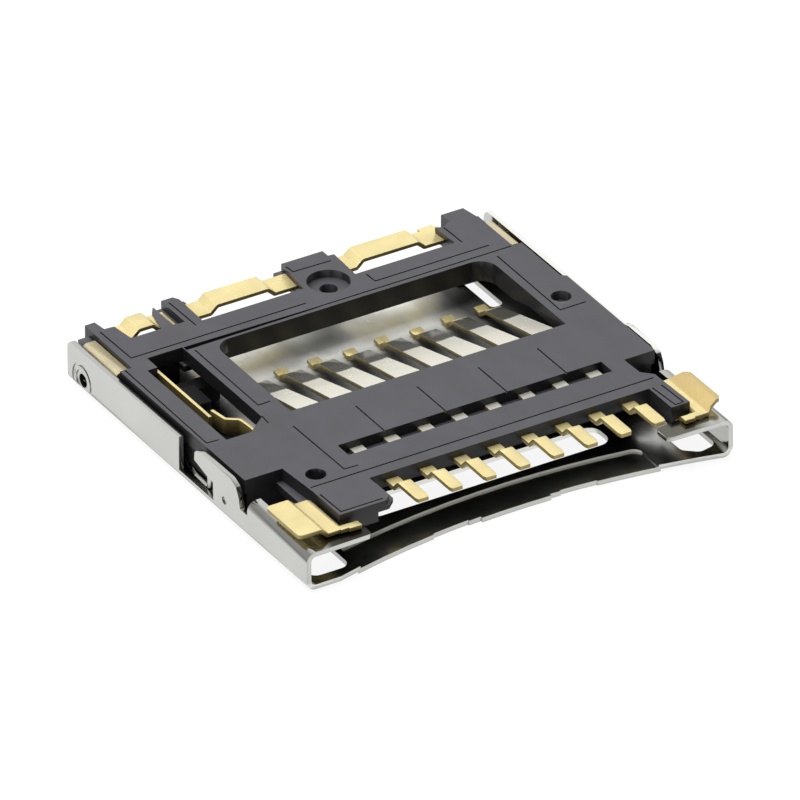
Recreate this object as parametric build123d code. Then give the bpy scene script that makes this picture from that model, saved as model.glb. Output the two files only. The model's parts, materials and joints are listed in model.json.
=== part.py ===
from build123d import *
import math
import os

os.makedirs("parts", exist_ok=True)

# Push-push memory card connector, seen from the board side: z = 0 is the outer face of the shell's
# lip, +Z points to the circuit board and the card goes in along +Y. All sizes are in mm.

# The card and the spaces beside it set the width of the housing and the shell
CARD_WIDTH = 11.00
CARD_PLAY = 0.06
CHANNEL_WIDTH = 1.72
LEFT_WALL = 0.25
RIGHT_WALL = 0.17
WALL_OUT = (CARD_WIDTH + CARD_PLAY + CHANNEL_WIDTH + LEFT_WALL + RIGHT_WALL) / 2
CHANNEL_LEFT = -WALL_OUT + LEFT_WALL
CARD_LEFT = CHANNEL_LEFT + CHANNEL_WIDTH
CARD_RIGHT = WALL_OUT - RIGHT_WALL
CARD_MIDDLE = (CARD_LEFT + CARD_RIGHT) / 2

# Sheet metal shell
SHEET = 0.15
WALL_ROOM = 0.185
HALF_WIDTH = WALL_OUT + WALL_ROOM + SHEET
FRONT_Y = -6.67
SHELL_REAR_Y = 6.48
PLATE_Z = 0.07
INNER_Z = PLATE_Z + SHEET
BEND_R = 0.225
FLANGE_REAR_Y = FRONT_Y + 3.22
FLANGE_WIDTH = 0.435
RIM_X = 0.40
RIM_R = 25.0
RIM_CENTRE_Y = FRONT_Y + 0.79 - RIM_R
LIP_WIDTH = 1.06

# Moulded housing
ROOF_T = 0.45
ROOF_Z = INNER_Z + 0.93
TOP_Z = ROOF_Z + ROOF_T
REAR_BAR_Z = ROOF_Z - 0.20
FOOT_FRONT_Y = FRONT_Y + 0.87
MAIN_FRONT_Y = FRONT_Y + 2.11
BLOCK_FRONT_Y = FRONT_Y + 3.80
WINDOW_FRONT_Y = -0.36
REAR_WALL_Y = 4.90
REAR_WALL_T = 0.17
WINDOW_REAR_Y = REAR_WALL_Y - 0.99
HOUSING_REAR_Y = 6.67

# Heights of the shell's sides, over the roof
WALL_TOP = ROOF_Z + 0.30
TAB_TOP = ROOF_Z + 0.43
FLANGE_TOP = ROOF_Z + 0.12

# Contacts
PITCH = CARD_WIDTH / 10
COUNT = 8
FIRST_X = CARD_MIDDLE + 0.03 - PITCH * (COUNT - 1) / 2
LAST_X = FIRST_X + PITCH * (COUNT - 1)
STRIP_T = 0.12
STRIP_W = 0.40
STRIP_Z = ROOF_Z + 0.16
PAD_Z = STRIP_Z + 0.25
TUCK_Z = ROOF_Z - STRIP_T / 2
NAIL_Z = PAD_Z - 0.20
BLADE_X = CARD_LEFT - 0.92

# Slider, spring and lock pin
TRAVEL = 1.10
GAP = 0.02
SLIDER_TOP = ROOF_Z - 0.35
SLIDER_FRONT = 0.10
SLIDER_REAR = 3.20
FOOT_REAR = 3.70
WIRE_R = 0.10
PIN_X = -WALL_OUT - 0.06
PIN_Y = -1.00
PIN_Z = INNER_Z + WIRE_R + GAP
PIN_TIP_X = PIN_X + 0.56
PIN_TIP_Y = 1.90
PIN_TIP_SHIFT = 0.12
SPRING_X = CHANNEL_LEFT + 0.92
SPRING_Z = INNER_Z + 0.31
SPRING_R = 0.19
SPRING_WIRE = 0.04
SPRING_FRONT = 1.50
SPRING_TURNS = 7


def left_x(inward):
    """X of a line this far in from the shell's left side."""
    return inward - HALF_WIDTH


def right_x(inward):
    """X of a line this far in from the shell's right side."""
    return HALF_WIDTH - inward


def contact_x(i):
    return FIRST_X + PITCH * i


def box(x0, x1, y0, y1, z0, z1):
    return Pos((x0 + x1) / 2, (y0 + y1) / 2, (z0 + z1) / 2) * Box(x1 - x0, y1 - y0, z1 - z0)


def slab(points, z0, z1):
    """A plan outline between two heights."""
    face = make_face(Polyline(*points, close=True))
    return extrude(Plane.XY.offset(z0) * face, z1 - z0)


def rounded(points, radius, z0, z1):
    """The same with rounded corners."""
    face = make_face(FilletPolyline(*points, radius=radius, close=True))
    return extrude(Plane.XY.offset(z0) * face, z1 - z0)


def side_cut(points, x0, x1):
    """An outline drawn in Y and Z, run along X."""
    face = make_face(Polyline(*points, close=True))
    return extrude(Plane.YZ.offset(x0) * face, x1 - x0)


def side_strip(points, x0, x1, thick=STRIP_T, radius=0.10):
    """A bent strip whose centre line is drawn in Y and Z."""
    line = FilletPolyline(*points, radius=radius)
    return extrude(Plane.YZ.offset(x0) * trace(line, thick), x1 - x0)


def cross_strip(points, y0, y1, thick=STRIP_T, radius=0.10):
    """A bent strip whose centre line is drawn in X and Z."""
    line = FilletPolyline(*points, radius=radius)
    return extrude(Plane.XZ.offset(-y0) * trace(line, thick), -(y1 - y0))


def peg(x, y, r, z0, z1):
    return Pos(x, y, (z0 + z1) / 2) * Cylinder(r, z1 - z0)


def rim_disc(radius, height):
    """A disc on the axis that the arched front rim turns round."""
    return Pos(RIM_X, RIM_CENTRE_Y, 0) * Cylinder(radius, height)


def lip_plan(grow):
    """Plan of the lowered band along the arched rim, with its two inner corners rounded."""
    band = Pos(RIM_X, RIM_CENTRE_Y) * Circle(RIM_R + LIP_WIDTH + grow)
    left = left_x(1.835) - grow
    right = right_x(2.185) + grow
    band &= Pos((left + right) / 2, FRONT_Y) * Rectangle(right - left, 6)
    for line in (band.vertices().group_by(Axis.X)[0], band.vertices().group_by(Axis.X)[-1]):
        band = fillet(line.sort_by(Axis.Y)[-1], 0.34)
    return band


def lip():
    """The lowered band itself: a shallow pan that joins the plate all round its edge."""
    low = extrude(lip_plan(0.06), PLATE_Z)
    return low + extrude(Plane.XY.offset(PLATE_Z) * lip_plan(0.03), SHEET - PLATE_Z)


def channel_profile(top, flange=False):
    half = HALF_WIDTH - SHEET / 2
    floor = PLATE_Z + SHEET / 2
    points = [(-half, top), (-half, floor), (half, floor), (half, top)]
    if flange:
        edge = HALF_WIDTH - FLANGE_WIDTH
        points = [(-edge, top)] + points + [(edge, top)]
    return points


def wall_outline(tab_rear, opening):
    """What is taken off a side wall, seen from the side: all above the wall, round the tab."""
    tab = FLANGE_REAR_Y
    return [(SHELL_REAR_Y + 1, WALL_TOP)] + opening + [
        (tab_rear - 0.03, TAB_TOP - 0.16),
        (tab_rear - 0.15, TAB_TOP - 0.06),
        (tab_rear - 0.40, TAB_TOP),
        (tab + 0.90, TAB_TOP),
        (tab + 0.60, TAB_TOP - 0.13),
        (tab + 0.47, TAB_TOP - 0.38),
        (tab + 0.38, TAB_TOP - 0.73),
        (tab, TAB_TOP - 0.73),
        (tab, 3.00),
        (SHELL_REAR_Y + 1, 3.00),
    ]


def shell():
    """One stamping: plate, two side walls, front flanges, and the arched front lip."""
    profile = channel_profile(FLANGE_TOP - SHEET / 2, True)
    body = cross_strip(profile, FRONT_Y, FLANGE_REAR_Y, SHEET, BEND_R)
    profile = channel_profile(TAB_TOP + 0.12)
    body += cross_strip(profile, FLANGE_REAR_Y, SHELL_REAR_Y, SHEET, BEND_R)
    pin_opening = [
        (0.28, WALL_TOP),
        (0.28, PLATE_Z + 0.31),
        (PIN_Y - 0.60, PLATE_Z + 0.31),
        (PIN_Y - 0.58, PLATE_Z + 0.88),
        (PIN_Y - 0.25, PLATE_Z + 0.91),
        (-0.56, WALL_TOP - 0.30),
    ]
    body -= side_cut(wall_outline(-0.56, pin_opening), -HALF_WIDTH - 1, -WALL_OUT)
    body -= side_cut(wall_outline(-0.95, [(-0.90, WALL_TOP)]), WALL_OUT, HALF_WIDTH + 1)
    r = 0.28
    rear = SHELL_REAR_Y - r
    wide = 2 * HALF_WIDTH
    corner = box(-wide, wide, rear, SHELL_REAR_Y + 1, WALL_TOP - r, 2)
    body -= corner - Pos(0, rear, WALL_TOP - r) * Rot(0, 90, 0) * Cylinder(r, 3 * wide)
    corner = box(-wide, wide, rear, SHELL_REAR_Y + 1, -1, PLATE_Z + r)
    corner -= Pos(0, rear, PLATE_Z + r) * Rot(0, 90, 0) * Cylinder(r, 3 * wide)
    body -= corner - box(SHEET - HALF_WIDTH, HALF_WIDTH - SHEET, rear - 1, SHELL_REAR_Y + 2, -2, 3)
    # the arch is cut, then the lip is set in
    body -= rim_disc(RIM_R, 0.6) & box(left_x(0.735), HALF_WIDTH, FRONT_Y - 1, 0, -1, 1)
    body -= extrude(lip_plan(0), 1)
    body += lip() - rim_disc(RIM_R, 1)
    rim = Pos(0, 0, SHEET / 2)
    middle = rim * rim_disc(RIM_R + 0.1, SHEET) - rim * rim_disc(RIM_R - 0.08, 1)
    body += middle & box(RIM_X - 1.25, RIM_X + 1.00, FRONT_Y, 0, 0, 1)
    notch = rim_disc(RIM_R + 0.05, 1)
    body -= notch & box(RIM_X - 2.85, RIM_X - 1.65, FRONT_Y, 0, -1, 1)
    body -= notch & box(RIM_X + 1.35, RIM_X + 2.50, FRONT_Y, 0, -1, 1)
    for side in (-1, 1):
        inner = side * (HALF_WIDTH - 2.135)
        outer = side * (HALF_WIDTH - 0.335)
        front = FRONT_Y
        tongue = [(outer, front), (inner, front + 0.03), (inner, front + 0.65), (outer, front + 0.82)]
        body += rounded(tongue, 0.12, FLANGE_TOP - SHEET, FLANGE_TOP)
    front = FRONT_Y - 0.10
    corner = [(right_x(2.5), front + 0.35), (right_x(1.65), front), (right_x(2.5), front)]
    body -= slab(corner, PLATE_Z + 0.5, TOP_Z)
    # openings under the contact tails and the feet, and the narrow one by the switch
    x0 = FIRST_X - 0.68
    x1 = LAST_X - 0.46
    y0 = MAIN_FRONT_Y + 0.04
    body -= rounded([(x0, y0), (x1, y0), (x1, y0 + 1.02), (x0, y0 + 1.02)], 0.38, -1, 1)
    y0 = FRONT_Y + 0.37
    y1 = FRONT_Y + 1.85
    x0 = left_x(0.385)
    x1 = left_x(1.635)
    body -= rounded([(x0, y0), (x1, y0), (x1, y1), (x0, y1)], 0.30, -1, 1)
    x0 = right_x(1.235)
    x1 = right_x(0.235)
    half_moon = [(x0, y0 + 0.38), (x0 + 0.42, y0 + 0.03), (x1, y0 + 0.15), (x1, y1), (x0, y1)]
    body -= rounded(half_moon, 0.25, -1, 1)
    x0 = right_x(1.735)
    y0 = REAR_WALL_Y - 1.47
    x1 = x0 + 0.41
    body -= rounded([(x0, y0), (x1, y0), (x1, y0 + 2.17), (x0, y0 + 2.17)], 0.15, -1, 1)
    for side in (-1, 1):
        stamp = Pos(side * HALF_WIDTH, SHELL_REAR_Y - 0.80, PLATE_Z + 0.40) * Rot(0, 90, 0)
        body -= stamp * Cylinder(0.54, 0.07) - stamp * Cylinder(0.46, 0.07)
        body -= stamp * Cylinder(0.34, 0.08)
        body -= stamp * Cylinder(0.21, 1)
    dot = Pos(-HALF_WIDTH, FLANGE_REAR_Y + 1.25, PLATE_Z + 0.61)
    body -= dot * Rot(0, 90, 0) * Cylinder(0.12, 0.08)
    return body


def housing_outline():
    """Plan of the moulded roof, from the left block round the front, the right side and the rear."""
    front = [
        (left_x(0.275), BLOCK_FRONT_Y),
        (left_x(1.485), BLOCK_FRONT_Y),
        (left_x(1.585), FOOT_FRONT_Y + 1.40),
        (left_x(1.585), FOOT_FRONT_Y),
        (left_x(3.085), FOOT_FRONT_Y),
        (left_x(3.305), FOOT_FRONT_Y + 0.20),
        (left_x(3.285), MAIN_FRONT_Y),
        (right_x(1.455), MAIN_FRONT_Y),
        (right_x(1.455), FOOT_FRONT_Y + 0.05),
        (right_x(0.855), FOOT_FRONT_Y + 0.05),
        (right_x(0.905), FOOT_FRONT_Y + 1.82),
        (right_x(1.205), FOOT_FRONT_Y + 2.13),
        (right_x(1.235), BLOCK_FRONT_Y),
        (right_x(0.215), BLOCK_FRONT_Y),
    ]
    wall = REAR_WALL_Y
    rear = HOUSING_REAR_Y
    back = [
        (right_x(0.185), wall - 3.02),
        (right_x(0.335), wall - 2.90),
        (right_x(0.335), wall - 0.80),
        (right_x(0.635), wall - 0.80),
        (right_x(0.635), wall + 0.95),
        (right_x(0.755), rear - 0.06),
        (right_x(1.495), rear - 0.06),
        (right_x(1.445), wall + 1.29),
        (right_x(1.785), wall + 1.10),
        (right_x(1.995), wall + 1.20),
        (right_x(1.955), wall + 0.18),
        (1.68, wall + 0.18),
        (1.73, rear - 0.34),
        (1.54, rear - 0.32),
        (1.54, rear - 0.02),
        (0.17, rear - 0.02),
        (0.04, wall + 0.25),
        (left_x(3.635), wall + 0.25),
        (left_x(3.665), rear - 0.20),
        (left_x(3.555), rear),
        (left_x(2.895), rear),
        (left_x(2.715), rear - 0.27),
        (left_x(2.545), wall + 0.71),
        (left_x(2.435), wall + 0.46),
        (left_x(1.435), wall + 0.46),
        (left_x(1.345), rear - 0.52),
        (left_x(1.035), rear - 0.49),
        (left_x(0.985), rear - 0.04),
        (left_x(0.665), rear - 0.04),
        (left_x(0.635), wall - 0.94),
        (left_x(0.255), wall - 0.94),
    ]
    return front + back


def rear_blocks():
    """Plans of the four blocks that stand on the shell behind the rear wall."""
    wall = REAR_WALL_Y + 0.10
    rear = HOUSING_REAR_Y
    return (
        [
            (left_x(0.675), wall),
            (left_x(1.435), wall),
            (left_x(1.345), rear - 0.52),
            (left_x(1.035), rear - 0.49),
            (left_x(0.985), rear - 0.04),
            (left_x(0.665), rear - 0.04),
        ],
        [
            (left_x(2.635), wall),
            (left_x(3.665), wall),
            (left_x(3.665), rear - 0.20),
            (left_x(3.095), rear - 0.20),
            (left_x(2.835), rear - 0.32),
        ],
        [(0.06, wall), (1.68, wall), (1.70, rear - 0.34), (1.54, rear - 0.32), (0.17, rear - 0.32)],
        [
            (right_x(1.985), wall),
            (right_x(0.635), wall),
            (right_x(0.655), rear - 0.82),
            (right_x(0.755), rear - 0.25),
            (right_x(1.475), rear - 0.25),
            (right_x(1.445), wall + 1.19),
            (right_x(1.785), wall + 1.00),
        ],
    )


def grooves():
    """Parting lines and steps that show as fine lines on the face."""
    depth = 0.05
    wall = REAR_WALL_Y
    front = MAIN_FRONT_Y + 0.43
    slot_y = MAIN_FRONT_Y + 1.94
    foot = FOOT_FRONT_Y + 0.13
    step = BLOCK_FRONT_Y - 0.92
    thin = [
        [(left_x(1.635), front - 0.02), (right_x(1.035), front + 0.01)],
        [(left_x(0.855), wall + 1.18), (left_x(0.885), wall - 0.48), (-0.33, wall - 0.47)],
        [(1.94, wall + 0.01), (1.96, wall - 0.45), (right_x(1.195), wall - 0.44)],
        [(-0.10, wall - 0.82), (right_x(0.685), wall - 0.81)],
        [(right_x(1.315), wall - 1.08), (right_x(1.345), 0.37), (right_x(0.485), 0.38)],
        [(left_x(0.405), wall - 0.97), (left_x(0.375), -0.61), (left_x(0.765), -0.64)],
        [(left_x(2.635), wall - 1.04), (left_x(2.635), 0.38), (left_x(3.035), 0.39)],
        [(left_x(2.895), -1.09), (left_x(2.935), step), (left_x(3.375), step - 0.02)],
        [(left_x(2.425), -0.18), (left_x(2.385), -0.59)],
        [(left_x(1.675), MAIN_FRONT_Y - 0.03), (left_x(1.705), foot), (left_x(3.055), foot)],
        [(right_x(1.355), MAIN_FRONT_Y), (right_x(1.285), foot), (right_x(1.015), foot)],
        [(right_x(1.015), foot), (right_x(1.055), MAIN_FRONT_Y)],
        [(0.21, wall + 1.55), (0.24, wall + 1.20), (1.47, wall + 1.17)],
        [(right_x(1.785), wall + 1.06), (right_x(1.765), wall + 0.10)],
        [(left_x(3.315), wall + 1.56), (left_x(3.345), wall + 0.11)],
    ]
    for x in (-2.0, 0.0, 2.0, 3.95):
        thin.append([(x, slot_y), (x, WINDOW_FRONT_Y - 0.72)])
    left = left_x(2.435)
    wedge = [(left, wall - 0.92), (-0.1, wall - 0.86), (-0.1, wall - 0.80), (left, wall - 0.74)]
    cut = slab(wedge, TOP_Z - 0.18, TOP_Z + 0.1)
    for points in thin:
        line = trace(Polyline(*points), 0.05)
        cut += extrude(Plane.XY.offset(TOP_Z - depth) * line, depth + 0.1)
    return cut


def switch_opening():
    """Plan of the slot over the card switch."""
    left = CHANNEL_LEFT
    rear = REAR_WALL_Y - 0.72
    return [
        (left + 0.35, -0.75),
        (CARD_LEFT - 0.57, -0.75),
        (CARD_LEFT + 0.10, -0.21),
        (CARD_LEFT + 0.10, rear),
        (CARD_LEFT - 1.04, rear),
        (CARD_LEFT - 1.04, rear - 0.58),
        (left + 0.35, rear - 0.58),
    ]


def housing():
    """One moulding, without the seats that the inserted strips press into it."""
    front = BLOCK_FRONT_Y
    wall = REAR_WALL_Y
    body = slab(housing_outline(), ROOF_Z, TOP_Z)
    # walls under the roof
    body += box(CARD_LEFT, CARD_RIGHT, WINDOW_REAR_Y, wall, REAR_BAR_Z, ROOF_Z)
    body += box(-WALL_OUT, CARD_LEFT + 0.43, wall, wall + REAR_WALL_T, INNER_Z, ROOF_Z)
    body += box(right_x(1.985), WALL_OUT, wall, wall + REAR_WALL_T, INNER_Z, ROOF_Z)
    side = [(1.60, ROOF_Z + 0.1), (1.60, ROOF_Z), (2.50, REAR_BAR_Z), (WINDOW_REAR_Y + 0.1, REAR_BAR_Z)]
    body += side_cut(side + [(WINDOW_REAR_Y + 0.1, ROOF_Z + 0.1)], LAST_X, CARD_RIGHT + 0.01)
    body += box(-WALL_OUT, CHANNEL_LEFT, front, wall, INNER_Z, ROOF_Z)
    body += box(CARD_RIGHT, WALL_OUT, front, wall, INNER_Z, ROOF_Z)
    body += box(-WALL_OUT, CARD_LEFT, front, front + 0.42, INNER_Z, ROOF_Z)
    body += box(CARD_LEFT - 0.15, CARD_LEFT, front, -0.40, INNER_Z, ROOF_Z)
    foot = [
        (left_x(1.585), FOOT_FRONT_Y),
        (left_x(3.185), FOOT_FRONT_Y),
        (left_x(3.455), FOOT_FRONT_Y + 0.25),
        (left_x(3.455), MAIN_FRONT_Y),
        (left_x(1.585), MAIN_FRONT_Y),
    ]
    body += slab(foot, ROOF_Z, TOP_Z - 0.18)
    y0 = FOOT_FRONT_Y
    y1 = MAIN_FRONT_Y
    body -= box(left_x(2.835), left_x(3.6), y0 - 0.1, y1, 0, ROOF_Z + 0.13)
    body += box(left_x(1.635), left_x(2.835), y0, y1 + 0.2, ROOF_Z - 0.17, ROOF_Z + 0.1)
    body += box(right_x(1.455), right_x(0.865), y0 + 0.05, y1 + 0.2, ROOF_Z - 0.18, ROOF_Z + 0.1)
    body += box(left_x(1.285), left_x(1.635), y1 + 0.26, front + 0.1, ROOF_Z - 0.20, ROOF_Z + 0.05)
    for outline, low in zip(rear_blocks(), (INNER_Z, REAR_BAR_Z, REAR_BAR_Z, REAR_BAR_Z)):
        body += slab(outline, low, ROOF_Z)
    rear = HOUSING_REAR_Y
    for x0, x1 in ((left_x(3.6), left_x(3.905)), (-0.09, 0.30), (1.45, 1.80)):
        body += box(x0, x1, rear - 0.22, rear - 0.02, ROOF_Z - 0.20, ROOF_Z + 0.22)
    body += box(left_x(0.335), left_x(0.735), rear - 0.63, rear - 0.22, INNER_Z + 0.10, ROOF_Z + 0.18)
    body += box(right_x(0.735), right_x(0.385), rear - 0.69, rear - 0.27, INNER_Z + 0.10, ROOF_Z + 0.18)
    # card window
    x0 = FIRST_X - 0.78
    x1 = LAST_X + 0.55
    y0 = WINDOW_FRONT_Y
    y1 = WINDOW_REAR_Y
    body -= rounded([(x0, y0), (x1, y0), (x1, y1), (x0, y1)], 0.55, 0, 3)
    body -= box(x0, x1, y0, y0 + 1, 0, 3)
    # slot across the contacts, and the switch slot
    seat = STRIP_Z - STRIP_T / 2
    slot_y = MAIN_FRONT_Y + 1.34
    body -= box(FIRST_X - 0.595, LAST_X + 0.32, slot_y, slot_y + 0.60, seat, 3)
    body -= slab(switch_opening(), ROOF_Z - 0.01, 3)
    # seats of the contact strips
    for i in range(COUNT):
        x = contact_x(i)
        body -= box(x - STRIP_W / 2, x + STRIP_W / 2, MAIN_FRONT_Y - 1, y0 + 1, seat, seat + STRIP_T)
        body -= box(x - 0.42, x + 0.42, y0 - 0.30, y0 + 1, ROOF_Z - 0.1, seat + STRIP_T)
    # holes and the round recess
    body -= peg(left_x(2.125), MAIN_FRONT_Y + 0.95, 0.30, 0, 3)
    body -= peg(right_x(0.925), 1.00, 0.30, TOP_Z - 0.30, 3)
    body -= peg(0.83, wall + 0.23, 0.635, TOP_Z - 0.25, 3)
    body -= peg(0.83, wall + 0.23, 0.265, TOP_Z - 0.60, 3)
    # slot in the rear block that shows the leg strip
    body -= box(left_x(2.3), left_x(2.945), wall + 0.47, rear + 1, TOP_Z - 0.15, 3)
    body -= box(left_x(2.935), left_x(3.175), wall + 0.44, rear + 1, ROOF_Z + 0.19, 3)
    # seats of the switch contacts
    left = CHANNEL_LEFT
    body -= box(BLADE_X - 0.05, BLADE_X + 0.05, wall - 0.90, wall - 0.40, ROOF_Z - 0.30, ROOF_Z + 0.20)
    body -= box(CARD_LEFT - 0.27, CARD_LEFT - 0.17, -1.10, -0.50, ROOF_Z - 0.30, ROOF_Z + 0.20)
    # seat and way of the lock pin
    body -= peg(PIN_X, PIN_Y, WIRE_R + GAP, 0, ROOF_Z - 0.17)
    body -= box(-HALF_WIDTH, left + 0.1, PIN_Y - 0.15, PIN_TIP_Y + 0.30, 0, PIN_Z + WIRE_R + 0.06)
    body -= grooves()
    for strip in (*rear_legs(), left_nail(), right_nail()):
        body -= strip
    return body


def leg_strip(x0, x1, high0, high1):
    """A rear solder leg: its ends are held in the housing and its middle rises to the board."""
    low = PAD_Z - 0.20
    rise = [(x0, low), (high0 - 0.22, low), (high0, PAD_Z)]
    points = rise + [(high1, PAD_Z), (high1 + 0.22, low), (x1, low)]
    return cross_strip(points, REAR_WALL_Y + 0.74, REAR_WALL_Y + 1.51, STRIP_T, 0.06)


def rear_legs():
    low = PAD_Z - 0.20 - STRIP_T / 2
    y = REAR_WALL_Y + 1.45
    wide_end = box(right_x(2.315), right_x(1.835), y, y + 0.20, low, low + STRIP_T)
    return (
        leg_strip(left_x(1.135), left_x(3.045), left_x(1.885), left_x(2.315)),
        leg_strip(left_x(3.385), 0.30, -2.50, -0.85),
        leg_strip(1.45, right_x(1.735), 2.30, 4.10) + wide_end,
    )


def contact(i):
    """A signal contact: solder tail, strip through the housing, sprung beam and touching tip."""
    x = contact_x(i)
    early = 0.12 if i in (3, 5) else 0.0
    broad = 0.395 if i in (3, 5) else 0.35
    tail = FRONT_Y + 0.40
    beam = WINDOW_FRONT_Y
    points = [
        (tail, PAD_Z),
        (MAIN_FRONT_Y - 0.66, PAD_Z),
        (MAIN_FRONT_Y - 0.43, STRIP_Z),
        (beam + 0.26 - early, STRIP_Z),
        (beam + 2.44 - early, STRIP_Z - 0.52),
        (beam + 3.04 - early, STRIP_Z - 0.65),
        (beam + 3.48 - early, STRIP_Z - 0.97),
        (beam + 3.80 - early, STRIP_Z - 0.94),
    ]
    strip = side_strip(points, x - 0.5, x + 0.5, STRIP_T, 0.075)
    half = STRIP_W / 2
    plan = [
        (half - 0.04, tail),
        (half, tail + 0.12),
        (half, beam - 0.26),
        (broad, beam - 0.04),
        (broad, beam + 0.46),
        (0.25, beam + 3.04),
        (0.15, beam + 3.22),
        (0.15, beam + 3.38),
        (0.19, beam + 3.44),
        (0.18, beam + 3.96),
    ]
    outline = [(x + w, y) for w, y in plan] + [(x - w, y) for w, y in reversed(plan)]
    return strip & slab(outline, 0, 2)


def nail_tongue(x0, x1, neck0, neck1):
    """A nail's short tongue, which steps up in front of the foot, and the neck beside it."""
    front = FOOT_FRONT_Y
    points = [(front + 0.20, TUCK_Z), (front - 0.18, TUCK_Z)]
    points += [(front - 0.22, NAIL_Z), (front - 0.50, NAIL_Z)]
    neck = box(neck0, neck1, front - 0.45, front - 0.24, NAIL_Z - STRIP_T / 2, NAIL_Z + STRIP_T / 2)
    return side_strip(points, x0, x1, STRIP_T, 0.08) + neck


def left_nail():
    """The left solder nail: a wide pad beside the foot, stepping down under it."""
    points = [
        (left_x(0.035), PAD_Z),
        (left_x(0.735), PAD_Z),
        (left_x(0.955), NAIL_Z),
        (left_x(1.435), NAIL_Z),
        (left_x(1.515), TUCK_Z),
        (left_x(2.235), TUCK_Z),
    ]
    x0 = left_x(0.015)
    x1 = left_x(1.465)
    y0 = FRONT_Y + 0.45
    y1 = FRONT_Y + 2.27
    plan = rounded([(x0, y0), (x1, y0), (x1, y1), (x0, y1)], 0.17, 0, 2)
    plan += box(x1 - 0.30, left_x(2.335), y0 + 0.44, y1 - 0.20, 0, 2)
    sheet = cross_strip(points, y0, y1, STRIP_T, 0.08) & plan
    return sheet + nail_tongue(left_x(1.615), left_x(2.005), x1 - 0.10, left_x(1.70))


def right_nail():
    """The right solder nail: narrower, with its wing sloping up to the board."""
    points = [
        (right_x(1.335), TUCK_Z),
        (right_x(0.915), TUCK_Z),
        (right_x(0.775), NAIL_Z),
        (right_x(0.515), NAIL_Z),
        (right_x(0.165), PAD_Z),
        (right_x(-0.10), PAD_Z),
    ]
    front = FRONT_Y
    plan = [
        (right_x(1.435), front + 0.93),
        (right_x(0.865), front + 0.93),
        (right_x(0.865), front + 0.42),
        (right_x(0.545), front + 0.42),
        (right_x(0.385), front + 0.57),
        (right_x(0.075), front + 0.64),
        (right_x(0.005), front + 0.74),
        (right_x(0.005), front + 2.22),
        (right_x(0.115), front + 2.33),
        (right_x(0.485), front + 2.52),
        (right_x(0.865), front + 2.52),
        (right_x(0.865), front + 2.07),
        (right_x(1.435), front + 2.07),
    ]
    sheet = cross_strip(points, front + 0.42, front + 2.52, STRIP_T, 0.06) & slab(plan, 0, 2)
    return sheet + nail_tongue(right_x(1.335), right_x(1.015), right_x(1.10), right_x(0.80))


def ground_strip(side, y0, y1):
    """A strip hooked over the housing's side wall, beside the shell."""
    x = WALL_OUT + STRIP_T / 2
    points = [(side * x, ROOF_Z - 0.45), (side * x, ROOF_Z + 0.24), (side * (x - 0.36), ROOF_Z + 0.24)]
    return cross_strip(points, y0, y1, STRIP_T, 0.08)


def switch_blade():
    """The fixed contact of the card switch, on edge in the slot."""
    y0 = SLIDER_FRONT + 0.80
    y1 = REAR_WALL_Y - 0.40
    return box(BLADE_X - 0.05, BLADE_X + 0.05, y0, y1, ROOF_Z - 0.30, ROOF_Z + 0.20)


def switch_spring():
    """The moving contact of the card switch, bent towards the blade."""
    points = [(0.70, 1.20), (0.61, 0.60), (0.27, 0.36), (0.22, -0.10), (0.22, -1.10)]
    line = FilletPolyline(*[(CARD_LEFT - x, y) for x, y in points], radius=0.12)
    return extrude(Plane.XY.offset(ROOF_Z - 0.30) * trace(line, 0.10), 0.50)


def cam_groove():
    """The way cut in the slider's underside that the lock pin's tip follows."""
    r = WIRE_R + GAP
    top = PIN_Z + 0.28
    end_x = PIN_TIP_X + PIN_TIP_SHIFT
    end_y = PIN_TIP_Y - TRAVEL
    way = trace(Polyline((PIN_TIP_X, PIN_TIP_Y), (end_x, end_y)), 2 * r)
    cut = extrude(Plane.XY * way, top)
    cut += peg(PIN_TIP_X, PIN_TIP_Y, r, 0, top)
    cut += peg(end_x, end_y, r, 0, top)
    return cut


def slider():
    """The eject slider: cam block, spring pocket and the foot that the card pushes."""
    left = CHANNEL_LEFT
    low = INNER_Z + GAP
    body = box(left + GAP, left + 0.51, SLIDER_FRONT, SLIDER_REAR, PIN_Z + WIRE_R + GAP, SLIDER_TOP)
    body += box(left + 0.51, CARD_LEFT - 0.22, SLIDER_FRONT, SLIDER_REAR, low, SLIDER_TOP)
    body += box(left + 1.05, CARD_LEFT - 0.22, 2.0, 3.0, SLIDER_TOP, SLIDER_TOP + 0.28)
    body += box(CARD_LEFT - 0.22, CARD_LEFT + 0.73, SLIDER_REAR - 0.05, FOOT_REAR, low, SLIDER_TOP)
    body += box(left + 1.15, CARD_LEFT - 0.17, SLIDER_REAR - 0.20, FOOT_REAR, low, SLIDER_TOP)
    body -= box(SPRING_X - 0.27, SPRING_X + 0.27, SPRING_FRONT, SLIDER_REAR + 1, 0, SLIDER_TOP + 0.2)
    body -= cam_groove()
    return body


def card_leaf():
    """The small leaf on the slider that grips the card's side notch."""
    x = CARD_LEFT - 0.19
    line = FilletPolyline((x, 2.95), (x, 1.30), (x + 0.16, 1.00), (x + 0.02, 0.60), radius=0.08)
    return extrude(Plane.XY.offset(INNER_Z + 0.10) * trace(line, 0.06), 0.40)


def eject_spring():
    """The coil spring between the slider and the rear wall, of fine wire."""
    height = REAR_WALL_Y - SPRING_FRONT - 2 * SPRING_WIRE
    path = Helix(pitch=height / SPRING_TURNS, height=height, radius=SPRING_R)
    wire = sweep(Plane(origin=path @ 0, z_dir=path % 0) * RegularPolygon(SPRING_WIRE, 6), path)
    return Pos(SPRING_X, SPRING_FRONT + SPRING_WIRE, SPRING_Z) * Rot(-90, 0, 0) * wire


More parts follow.
